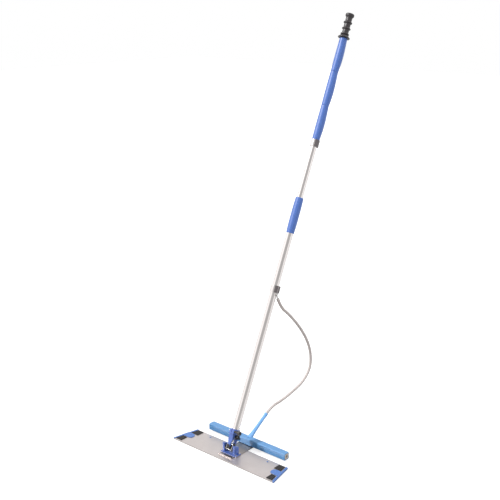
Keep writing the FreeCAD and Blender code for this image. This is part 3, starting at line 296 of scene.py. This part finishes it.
def edit_at(piece, kind, chosen):
    """Opens a piece for editing with only the chosen ones of its faces or edges selected."""
    only(piece)
    bpy.ops.object.mode_set(mode="EDIT")
    bpy.ops.mesh.select_mode(type=kind)
    bpy.ops.mesh.select_all(action="DESELECT")
    bpy.ops.object.mode_set(mode="OBJECT")
    for element, wanted in zip(piece.data.edges if kind == "EDGE" else piece.data.polygons, chosen):
        element.select = wanted
    bpy.ops.object.mode_set(mode="EDIT")


def end_edit():
    """Ends the editing of a piece, with corners as what the next edit selects."""
    bpy.ops.mesh.select_mode(type="VERT")
    bpy.ops.object.mode_set(mode="OBJECT")


def join(pieces, name):
    """Joins several objects into the first of them."""
    only(pieces[0])
    for piece in pieces:
        piece.select_set(True)
    bpy.ops.object.join()
    pieces[0].name = name
    return pieces[0]


def nub_places(pad):
    """Where the nubs stand: even rows from the pad's front to its back, each as long as the pad there."""
    top = max(vertex.co.z for vertex in pad.data.vertices)
    corners = [vertex.co for vertex in pad.data.vertices if vertex.co.z > top - TOP_BAND]
    front, back = min(c.y for c in corners), max(c.y for c in corners)
    front_x = [c.x for c in corners if c.y < front + END_BAND]
    back_x = [c.x for c in corners if c.y > back - END_BAND]
    rows = int((back - front - 2 * NUB_MARGIN) / NUB_PITCH)
    places = []
    for row in range(rows + 1):
        y = front + NUB_MARGIN + (back - front - 2 * NUB_MARGIN) * row / rows
        share = (y - front) / (back - front)
        left = min(front_x) + (min(back_x) - min(front_x)) * share + NUB_MARGIN
        right = max(front_x) + (max(back_x) - max(front_x)) * share - NUB_MARGIN
        columns = int((right - left) / NUB_PITCH)
        for column in range(columns + 1):
            places.append((left + (right - left) * column / columns, y, top))
    return places


bpy.ops.mesh.primitive_cylinder_add(
    vertices=12, radius=NUB_RADIUS, depth=NUB_RISE, location=(0, 0, NUB_RISE / 2))
nub = bpy.context.object
bpy.ops.object.transform_apply(location=True)
edit_at(nub, "FACE", [polygon.normal.z > 0.9 for polygon in nub.data.polygons])
bpy.ops.mesh.inset(thickness=NUB_RADIUS * 0.35)
bpy.ops.transform.translate(value=(0, 0, NUB_RISE * 0.3))
end_edit()
for name in [f"grip_patch_{end}_{hand}" for end in ("front", "back") for hand in ("left", "right")]:
    pad = clean_copy(name)
    places = nub_places(pad)
    rounded(pad, 0.0006)
    nubs = []
    for place in places:
        one = bpy.data.objects.new("nub", nub.data.copy())
        one.location = place
        SCENE.collection.objects.link(one)
        nubs.append(one)
    pad = join([pad] + nubs, name + "_finished")
    smooth(pad, 50)
    fitted(pad, grip_rubber, name)
bpy.data.objects.remove(nub)

# ---------------------------------------------------------------- bracket
# A stainless strap of 2 mm sheet between the joint and the plate: it runs back under the feed bar,
# which is screwed to it, and its front edge is turned up.
# The strap's steel is painted darker than bare stainless: painted shade for the joint's shadow that falls on
# it.
strap_steel_painted_shade = mottled("strap_steel_painted_shade", ("#9A9492", "#8C8684"), (0.3, 0.42), (0.0004, 0.02, 0.0004),
                      bump=0.000005, metallic=1.0)
softened("feed_bracket", strap_steel_painted_shade, 0.0005)

# ---------------------------------------------------------------- feed bar
# A 24 mm square aluminium tube with a row of jets underneath, powder coated sky blue inside and out,
# with a moulded plug pushed into each end and two screws up through the bracket.
bar_coat = mottled("bar_coat", ("#568ABA", "#4E80B2"), (0.24, 0.34), (0.0014,) * 3, bump=0.00001)
BAR_CORNER, LONG_EDGE, ON_FACE = 0.0034, 0.2, 0.0001
bar = clean_copy("feed_bar")
bar_corners = [vertex.co for vertex in bar.data.vertices]
limits = [[limit(corner[axis] for corner in bar_corners) for limit in (min, max)] for axis in range(3)]


def on_arris(corner):
    """Whether a corner of the bar lies where two of its four long outer faces meet."""
    return all(min(abs(corner[axis] - level) for level in limits[axis]) < ON_FACE for axis in (1, 2))


edge_ends = [[bar_corners[index] for index in edge.vertices] for edge in bar.data.edges]
edit_at(bar, "EDGE", [
    abs(start.x - end.x) > LONG_EDGE and on_arris(start) and on_arris(end) for start, end in edge_ends])
bpy.ops.mesh.bevel(offset=BAR_CORNER, segments=5)
end_edit()
rounded(bar, 0.0004, 50)
fitted(bar, bar_coat, "feed_bar")
plug_nylon = mottled("plug_nylon", ("#B9AFA6", "#A99F96"), (0.45, 0.6), (0.0008,) * 3, bump=0.00001)
for name in ("bar_plug_left", "bar_plug_right"):
    softened(name, plug_nylon, 0.0008, segments=3)
bright_zinc = mottled("bright_zinc", ("#D4D2D1", "#C4C2C1"), (0.18, 0.32), (0.0005,) * 3, bump=0.000004,
                      metallic=1.0)
softened("bar_screws", bright_zinc, 0.0004)

# ---------------------------------------------------------------- stem
# A turned aluminium spout welded to the bar's back, in the bar's blue painted lighter as painted light on it:
# a wide root, a slim neck and a rolled rim, with a bright barb inside that the hose is pushed over.
SAME_RING = 0.001


def turned_piece(name, profile, place, sides=48):
    """A turned piece: a ring drawn out and resized from one (radius, height) to the next, in
    millimetres; an entry may also give a sideways shift (x, y). Both ends are closed, but a profile
    that comes back to its first entry makes a bored piece."""
    bored = profile[0] == profile[-1]
    bpy.ops.mesh.primitive_circle_add(
        vertices=sides, radius=profile[0][0], fill_type="NOTHING" if bored else "NGON")
    piece = bpy.context.object
    piece.name = name
    piece.location = (0, 0, profile[0][1])
    bpy.ops.object.transform_apply(location=True)
    bpy.ops.object.mode_set(mode="EDIT")
    bpy.ops.mesh.select_all(action="SELECT")
    shift = Vector((0, 0, 0))
    radius, height = profile[0][:2]
    for entry in profile[1:]:
        new_shift = Vector((*entry[2], 0)) if len(entry) > 2 else Vector((0, 0, 0))
        move = new_shift - shift + Vector((0, 0, entry[1] - height))
        bpy.ops.mesh.extrude_region_move(TRANSFORM_OT_translate={"value": move})
        scale = entry[0] / radius
        centre = new_shift + Vector((0, 0, entry[1]))
        bpy.ops.transform.resize(value=(scale, scale, scale), center_override=centre)
        radius, height, shift = entry[0], entry[1], new_shift
    bpy.ops.mesh.select_all(action="SELECT")
    if bored:
        bpy.ops.mesh.remove_doubles(threshold=SAME_RING)
    bpy.ops.mesh.normals_make_consistent(inside=False)
    bpy.ops.object.mode_set(mode="OBJECT")
    piece.matrix_world = place @ Matrix.Scale(0.001, 4)
    bpy.ops.object.transform_apply(location=True, rotation=True, scale=True)
    return piece


STEM_ROOT, STEM_LEAN = (0, 0.086, 0.020), 57.2
STEM_PROFILE = [
    (10.6, 9), (10.2, 13), (9.3, 18), (8.3, 24), (7.5, 31), (6.9, 40), (6.5, 52), (6.2, 70), (6.0, 90),
    (5.9, 108), (6.2, 110.5), (6.7, 111.5), (6.8, 114), (6.8, 117.6), (6.5, 118.9), (5.9, 119.4),
    (5.3, 119.5), (5.25, 117),
]
stem_seat = Matrix.Translation(STEM_ROOT) @ Matrix.Rotation(math.radians(-STEM_LEAN), 4, "X")
stem = turned_piece("feed_stem_finished", STEM_PROFILE, stem_seat)
smooth(stem, 60)
# The stem's coat is the bar's paint made lighter: painted light, so the slim spout reads as evenly lit.
stem_coat_painted_light = mottled("stem_coat_painted_light", ("#74A8E0", "#6C9FD6"), (0.24, 0.34), (0.0014,) * 3, bump=0.00001)
fitted(stem, stem_coat_painted_light, "feed_stem")


def carried(name, material):
    """A CAD node shown as it is, finished in a material."""
    NODES[name].data.materials.clear()
    NODES[name].data.materials.append(material)


carried("stem_barb", bright_zinc)

# ---------------------------------------------------------------- joint base
# A moulded nylon foot with two cheeks, in periwinkle blue, screwed down through the bracket and the
# plate at its four corners. Two shouldered pins through the cheeks carry the cross block.
joint_nylon = mottled("joint_nylon", ("#4F6BB5", "#4662A9"), (0.3, 0.42), (0.0008,) * 3, bump=0.000006,
                      Coat_Weight=0.6, Coat_Roughness=0.45)
END_DEPTH = 0.0002


def socketed(piece, directions, depth):
    """Sinks a round driver socket, half as wide as the end, into every outermost flat end that faces
    one of the directions."""
    for direction in map(Vector, directions):
        polygons = piece.data.polygons
        reach = max(polygon.center.dot(direction) for polygon in polygons) - END_DEPTH
        ends = [p.normal.dot(direction) > 0.99 and p.center.dot(direction) > reach for p in polygons]
        radius = max(math.sqrt(p.area / math.pi) for p, is_end in zip(polygons, ends) if is_end)
        edit_at(piece, "FACE", ends)
        bpy.ops.mesh.inset(thickness=radius / 2, use_individual=True)
        bpy.ops.mesh.extrude_region_move(TRANSFORM_OT_translate={"value": -direction * depth})
        end_edit()
    return piece


softened("joint_base", joint_nylon, 0.0009, segments=3)
screws = socketed(clean_copy("base_screws"), [(0, 0, 1)], 0.0012)
rounded(screws, 0.00035)
fitted(screws, bright_zinc, "base_screws")
pins = socketed(clean_copy("pitch_pins"), [(1, 0, 0), (-1, 0, 0)], 0.0008)
rounded(pins, 0.0006, segments=3)
fitted(pins, joint_nylon, "pitch_pins")

# ---------------------------------------------------------------- cross block, pins and wire bail
# A black acetal block between the two axes, with the pin that the fork rolls on, its clip, and a sprung
# zinc wire whose ends sit in the block.
acetal = mottled("acetal", ("#1B1817", "#25201F"), (0.3, 0.45), (0.0009,) * 3, bump=0.000008)
softened("cross_block", acetal, 0.0006)
softened("roll_pin", acetal, 0.0005)
softened("roll_clip", bright_zinc, 0.0003)
JOINTS = {joint["name"]: joint for joint in frame["record"]["behaviour"]["joints"]}
LEAN = math.atan2(*JOINTS["pole_length"]["axis"][1:])
LEANING = Matrix.Rotation(-LEAN, 4, "X")
POLE = Matrix.Translation(JOINTS["pole_roll"]["pos_m"]) @ LEANING
WIRE_RADIUS, WIRE_BEND = 0.0013, 0.003
WIRE_CORNERS = [
    (-3, -9, 5.5), (-12, -9, 5.5), (-12, -10.5, -13.2), (12, -10.5, -13.2), (12, -9, 5.5), (3, -9, 5.5),
]


def bent_path(corners, radius, steps=7):
    """A wire's path: straight runs with every inner corner bent to a radius."""
    path = [corners[0]]
    for before, corner, after in zip(corners, corners[1:], corners[2:]):
        back, ahead = (before - corner).normalized(), (after - corner).normalized()
        half = back.angle(ahead) / 2
        reach = radius / math.tan(half)
        centre = corner + (back + ahead).normalized() * radius / math.sin(half)
        first, last = corner + back * reach - centre, corner + ahead * reach - centre
        for step in range(steps + 1):
            path.append(centre + first.slerp(last, step / steps) * radius)
    return path + [corners[-1]]


def tube_mesh(name, path, radius, sides):
    """A round bar along a path, and its length; u runs once round it and v along it in metres."""
    rings = []
    side = Vector((0, 0, 1)) if abs((path[1] - path[0]).normalized().z) < 0.9 else Vector((1, 0, 0))
    for index, point in enumerate(path):
        ahead = path[min(index + 1, len(path) - 1)] - path[max(index - 1, 0)]
        ahead.normalize()
        side = (side - ahead * side.dot(ahead)).normalized()
        up = ahead.cross(side)
        turns = [2 * math.pi * step / sides for step in range(sides)]
        rings.append([point + (side * math.cos(t) + up * math.sin(t)) * radius for t in turns])
    faces = []
    for ring in range(len(path) - 1):
        for step in range(sides):
            after = (step + 1) % sides
            a, b = ring * sides, (ring + 1) * sides
            faces.append((a + step, a + after, b + after, b + step))
    faces.append(tuple(reversed(range(sides))))
    faces.append(tuple(range((len(path) - 1) * sides, len(path) * sides)))
    mesh = bpy.data.meshes.new(name)
    mesh.from_pydata([corner for ring in rings for corner in ring], [], faces)
    lengths = [0.0]
    for a, b in zip(path, path[1:]):
        lengths.append(lengths[-1] + (b - a).length)
    layer = mesh.uv_layers.new(name="around_and_along")
    for polygon in mesh.polygons:
        seam = any(corner % sides == sides - 1 for corner in polygon.vertices)
        for corner, loop in zip(polygon.vertices, polygon.loop_indices):
            around = corner % sides
            if seam and around == 0:
                around = sides
            layer.data[loop].uv = (around / sides, lengths[corner // sides])
        polygon.use_smooth = len(polygon.vertices) == 4
    piece = bpy.data.objects.new(name, mesh)
    SCENE.collection.objects.link(piece)
    return piece, lengths[-1]


wire_corners = [POLE @ (Vector(corner) / 1000) for corner in WIRE_CORNERS]
wire = tube_mesh("lock_bail_finished", bent_path(wire_corners, WIRE_BEND), WIRE_RADIUS, 20)[0]
fitted(wire, bright_zinc, "lock_bail")

# ---------------------------------------------------------------- fork, clamp bolt and thumb knob
# The moulded fork in the base's own nylon: two legs on the roll pin, and a split socket for the pole,
# drawn tight by a bolt with a fluted black thumb knob.
softened("fork", joint_nylon, 0.0007, segments=3)
bolt = socketed(clean_copy("clamp_bolt"), [(-1, 0, 0)], 0.0022)
rounded(bolt, 0.0005)
fitted(bolt, bright_zinc, "clamp_bolt")
KNOB_PROFILE = [
    (3.6, -14.3), (3.6, -1.2), (4.2, -0.3), (6.4, 0), (7.2, 0.5), (7.5, 1.3), (7.5, 9.3), (7.2, 10.3),
    (6.5, 10.9), (5.0, 11), (4.7, 10.4), (2.5, 10.3),
]
KNOB_REACH, KNOB_SIDES, KNOB_FLUTES = 0.024, 60, 15
FLUTE_SHARE, FLUTED_FROM = 0.09, 0.0062
knob_axis = Matrix.Translation(JOINTS["clamp_knob_turn"]["pos_m"]) @ LEANING
knob_seat = knob_axis @ Matrix.Translation((KNOB_REACH, 0, 0)) @ Matrix.Rotation(math.radians(90), 4, "Y")
thumb = turned_piece("clamp_knob_finished", KNOB_PROFILE, knob_seat, KNOB_SIDES)
to_knob = knob_seat.inverted()
for vertex in thumb.data.vertices:
    local = to_knob @ vertex.co
    angle = math.atan2(local.y, local.x)
    if math.hypot(local.x, local.y) > FLUTED_FROM:
        dip = 1 - FLUTE_SHARE * max(0.0, math.cos(angle * KNOB_FLUTES)) ** 2
        vertex.co = knob_seat @ Vector((local.x * dip, local.y * dip, local.z))
smooth(thumb, 40)
fitted(thumb, acetal, "clamp_knob")

# ---------------------------------------------------------------- lock lever and brake plunger
# A moulded black lever turns a small cam in the fork's crown; the cam pushes a ground steel plunger
# down on the cross block, which brakes the joint.
softened("lock_lever", acetal, 0.0002)
ground_steel = mottled("ground_steel", ("#DAD8D7", "#CECCCB"), (0.16, 0.26), (0.0002, 0.0002, 0.006),
                       bump=0.000002, metallic=1.0, turn=(-LEAN, 0, 0))
softened("brake_plunger", ground_steel, 0.0005)

# ---------------------------------------------------------------- pole tubes, plug and snap button
# Two drawn aluminium tubes, the upper sliding in the lower, polished along their length so that fine
# lines run with the pole. A sprung button snaps through the lower one.
drawn_tube = mottled("drawn_tube", ("#F2EDEB", "#E8E1DF"), (0.13, 0.2), (0.0003, 0.0003, 0.05),
                     bump=0.000003, metallic=1.0, turn=(-LEAN, 0, 0))
softened("lower_tube", drawn_tube, 0.0002)
softened("upper_tube", drawn_tube, 0.0002)
softened("snap_button", bright_zinc, 0.0008, segments=3)
carried("button_spring", bright_zinc)
for name in ("tube_plug", "tube_gland", "expander_core", "expander_bush"):
    carried(name, acetal)

# ---------------------------------------------------------------- split clamp rings and hose outlet
# Two split rings round the pole, each half a polished aluminium shell and half a dark nylon block, drawn
# together by grub screws. The lower one carries the elbow and the barbed nozzle of the feed hose.
ring_nylon = mottled("ring_nylon", ("#5F5859", "#6C6566"), (0.32, 0.45), (0.0009,) * 3, bump=0.000008)
for name in ("outlet_ring", "grip_ring"):
    softened(name, drawn_tube, 0.0006)
for name in ("outlet_block", "grip_ring_block"):
    softened(name, ring_nylon, 0.0006)
softened("outlet_fitting", bright_zinc, 0.0006, segments=3)
for name in ("outlet_grub_screws", "grip_ring_grub_screws", "hose_nozzle"):
    softened(name, bright_zinc, 0.0003)

# ---------------------------------------------------------------- grips
# Soft blue hand grips: one short grip where the tubes meet, and three sleeves end to end below the pump
# knob, each swelling towards the palm, on the back right, and tapering to a rounded lip. All are bored
# for the tubes.
soft_grip = mottled("soft_grip", ("#4E70BA", "#4566AC"), (0.42, 0.54), (0.0005,) * 3, bump=0.000012,
                    Coat_Weight=0.3, Coat_Roughness=0.4, Sheen_Weight=0.5, Sheen_Roughness=0.35,
                    Sheen_Tint=linear("#C4CFF2"))
GRIP_SIDES, LOWER_BORE, UPPER_BORE = 64, 12.6, 11.1
MID_PROFILE = [
    (LOWER_BORE, 0), (13.0, 0), (13.5, 0.3), (13.8, 1.1), (14.3, 12.5), (14.8, 25.5), (15, 38.5),
    (15, 62.5), (15, 88.5), (14.8, 100.5), (14.3, 113.5), (13.9, 124.9), (13.6, 125.9), (13.0, 126.4),
    (UPPER_BORE, 126.5), (UPPER_BORE, 116.8), (LOWER_BORE, 116.8), (LOWER_BORE, 0),
]


def up_pole(height):
    """The place on the pole's axis at a height in millimetres above the roll pin."""
    return POLE @ Matrix.Translation((0, 0, height / 1000))


def span(name):
    """Where a CAD node starts and ends along the pole, in millimetres above the roll pin."""
    from_pin = POLE.inverted() @ NODES[name].matrix_world
    heights = [(from_pin @ vertex.co).z * 1000 for vertex in NODES[name].data.vertices]
    return min(heights), max(heights)


mid_grip = turned_piece("mid_grip_finished", MID_PROFILE, up_pole(span("mid_grip")[0]), GRIP_SIDES)
smooth(mid_grip, 50)
fitted(mid_grip, soft_grip, "mid_grip")
PALM_SIDE, PALM_SWELL, PALM_SHIFT, SLEEVE_STEPS = (0.755, 0.656), 1.7, 1.15, 24
for name in ("grip_sleeve_1", "grip_sleeve_2", "grip_sleeve_3"):
    foot, top = span(name)
    length = top - foot
    profile = [(UPPER_BORE, 0), (12.3, 0), (12.9, 0.25), (13.25, 0.9)]
    for step in range(1, SLEEVE_STEPS):
        along = step / SLEEVE_STEPS
        swell = math.sin(math.pi * along ** 0.86) ** 1.4
        shift = (PALM_SHIFT * swell * PALM_SIDE[0], PALM_SHIFT * swell * PALM_SIDE[1])
        profile.append((13.4 + PALM_SWELL * swell, along * length, shift))
    profile += [(13.25, length - 0.9), (12.9, length - 0.25), (12.3, length)]
    profile += [(UPPER_BORE, length), (UPPER_BORE, 0)]
    sleeve = turned_piece(name + "_finished", profile, up_pole(foot), GRIP_SIDES)
    smooth(sleeve, 50)
    fitted(sleeve, soft_grip, name)

# ---------------------------------------------------------------- pump
# A ribbed black handle on a steel rod draws a sealed piston in the upper tube, and pushes the cleaning
# liquid down the pole. The handle is moulded in one piece, with a wide guard below and a flat cap.
PUMP_FOOT = 1451.5
RIBS, RIB_RISE, RIB_WIDTH, RIB_STEPS = (14.5, 34.5, 56.0), 3.9, 3.0, 60
profile = [
    (8, 0), (19.4, 0), (20.4, 0.3), (21, 1.2), (21, 2.4), (20.5, 3.2), (19.2, 4.0), (17.4, 5.0), (16.6, 6.2),
    (16.3, 7.8), (15.2, 8.8),
]
for step in range(1, RIB_STEPS):
    level = 9.6 + step * 1.05
    rib = max(math.exp(-((level - middle) / RIB_WIDTH) ** 4) for middle in RIBS)
    profile.append((11.3 + RIB_RISE * rib, level))
profile += [
    (11.4, 73.6), (11.8, 75.4), (13.2, 77.2), (14.6, 78.6), (15.2, 80.4), (15.2, 84.6), (14.7, 86.6),
    (13.4, 87.8), (11.5, 88.3), (6, 88.45), (1, 88.5),
]
handle = turned_piece("pump_knob_finished", profile, up_pole(PUMP_FOOT), 64)
smooth(handle, 60)
handle_rubber = mottled("handle_rubber", ("#2A2628", "#353133"), (0.34, 0.5), (0.0012,) * 3, bump=0.00002)
fitted(handle, handle_rubber, "pump_knob")
carried("pump_rod", ground_steel)
carried("piston", acetal)
carried("top_bush", acetal)
nitrile = mottled("nitrile", ("#131313", "#1C1B1B"), (0.45, 0.6), (0.0006,) * 3, bump=0.00001)
carried("piston_seal", nitrile)

# ---------------------------------------------------------------- feed hose
# A vinyl hose with a spun yarn braid under its skin, pushed over the nozzle on the pole and over the
# barb in the stem. It hangs out behind the pole in one slack bow, drawn as an upper and a lower piece.
HOSE_RADIUS, HOSE_SIDES, SPLIT_HEIGHT = 0.0052, 24, 0.365
HOSE_ROUTE = [
    (0.016, 0.2243, 0.5055),
    (0.016, 0.2412, 0.4692),
    (0.0155, 0.288, 0.432),
    (0.0145, 0.352, 0.366),
    (0.013, 0.398, 0.303),
    (0.011, 0.424, 0.245),
    (0.009, 0.427, 0.185),
    (0.0065, 0.388, 0.141),
    (0.004, 0.33, 0.121),
    (0.0015, 0.268, 0.106),
    (0, 0.2133, 0.1021),
    (0, 0.1864, 0.0847),
]
curve = bpy.data.curves.new("hose_route", "CURVE")
curve.dimensions = "3D"
spline = curve.splines.new("NURBS")
spline.points.add(len(HOSE_ROUTE) - 1)
for point, place in zip(spline.points, HOSE_ROUTE):
    point.co = (*place, 1)
spline.order_u = 3
spline.use_endpoint_u = True
spline.resolution_u = 14
route = bpy.data.objects.new("hose_route", curve)
SCENE.collection.objects.link(route)
bpy.context.view_layer.update()
line = bpy.data.meshes.new_from_object(route.evaluated_get(bpy.context.evaluated_depsgraph_get()))
hose_line = [vertex.co.copy() for vertex in line.vertices]
bpy.data.objects.remove(route)
middle = min(range(len(hose_line)), key=lambda index: abs(hose_line[index].z - SPLIT_HEIGHT))
upper_path, lower_path = hose_line[:middle + 1], hose_line[middle:]
hose_upper, upper_length = tube_mesh("hose_upper", upper_path, HOSE_RADIUS, HOSE_SIDES)
hose_lower, lower_length = tube_mesh("hose_lower", lower_path, HOSE_RADIUS, HOSE_SIDES)
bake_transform(hose_upper)
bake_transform(hose_lower)
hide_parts("feed_hose_upper")
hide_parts("feed_hose_lower")

BRAID_PITCH, BRAID_YARNS = 0.012, 5
hose_vinyl, tree, out = new_material("hose_vinyl")
wrap = node(tree, "ShaderNodeUVMap", uv_map="around_and_along")
split = node(tree, "ShaderNodeSeparateXYZ", {0: wrap.outputs[0]})
turn = node(tree, "ShaderNodeMath", {
    0: split.outputs["X"], 1: float(BRAID_YARNS)}, operation="MULTIPLY")
climb = node(tree, "ShaderNodeMath", {
    0: split.outputs["Y"], 1: BRAID_YARNS / BRAID_PITCH}, operation="MULTIPLY")
yarns = []
for way in ("ADD", "SUBTRACT"):
    phase = node(tree, "ShaderNodeMath", {0: climb.outputs[0], 1: turn.outputs[0]}, operation=way)
    scaled = node(tree, "ShaderNodeMath", {0: phase.outputs[0], 1: 0.5}, operation="PINGPONG")
    yarn = node(tree, "ShaderNodeMapRange", {
        "Value": scaled.outputs[0], "From Min": 0.3, "From Max": 0.42}, interpolation_type="SMOOTHSTEP")
    yarns.append(yarn.outputs[0])
crossed = node(tree, "ShaderNodeMath", {0: yarns[0], 1: yarns[1]}, operation="MAXIMUM")
place = node(tree, "ShaderNodeTexCoord")
dust = node(tree, "ShaderNodeTexNoise", {"Vector": place.outputs["Object"], "Scale": 90.0, "Detail": 3.0})
skin = node(tree, "ShaderNodeMix", {
    0: dust.outputs[0], 6: linear("#D2C9C6"), 7: linear("#C6BDBA")}, data_type="RGBA")
colour = node(tree, "ShaderNodeMix", {
    0: crossed.outputs[0], 6: skin.outputs[2], 7: linear("#A9A09D")}, data_type="RGBA")
relief = node(tree, "ShaderNodeBump", {"Height": crossed.outputs[0], "Distance": 0.00012, "Strength": 0.6})
shader = node(tree, "ShaderNodeBsdfPrincipled", {
    "Base Color": colour.outputs[2], "Roughness": 0.55, "Normal": relief.outputs[0]})
tree.links.new(shader.outputs[0], out.inputs["Surface"])
for piece in (hose_upper, hose_lower):
    piece.data.materials.append(hose_vinyl)
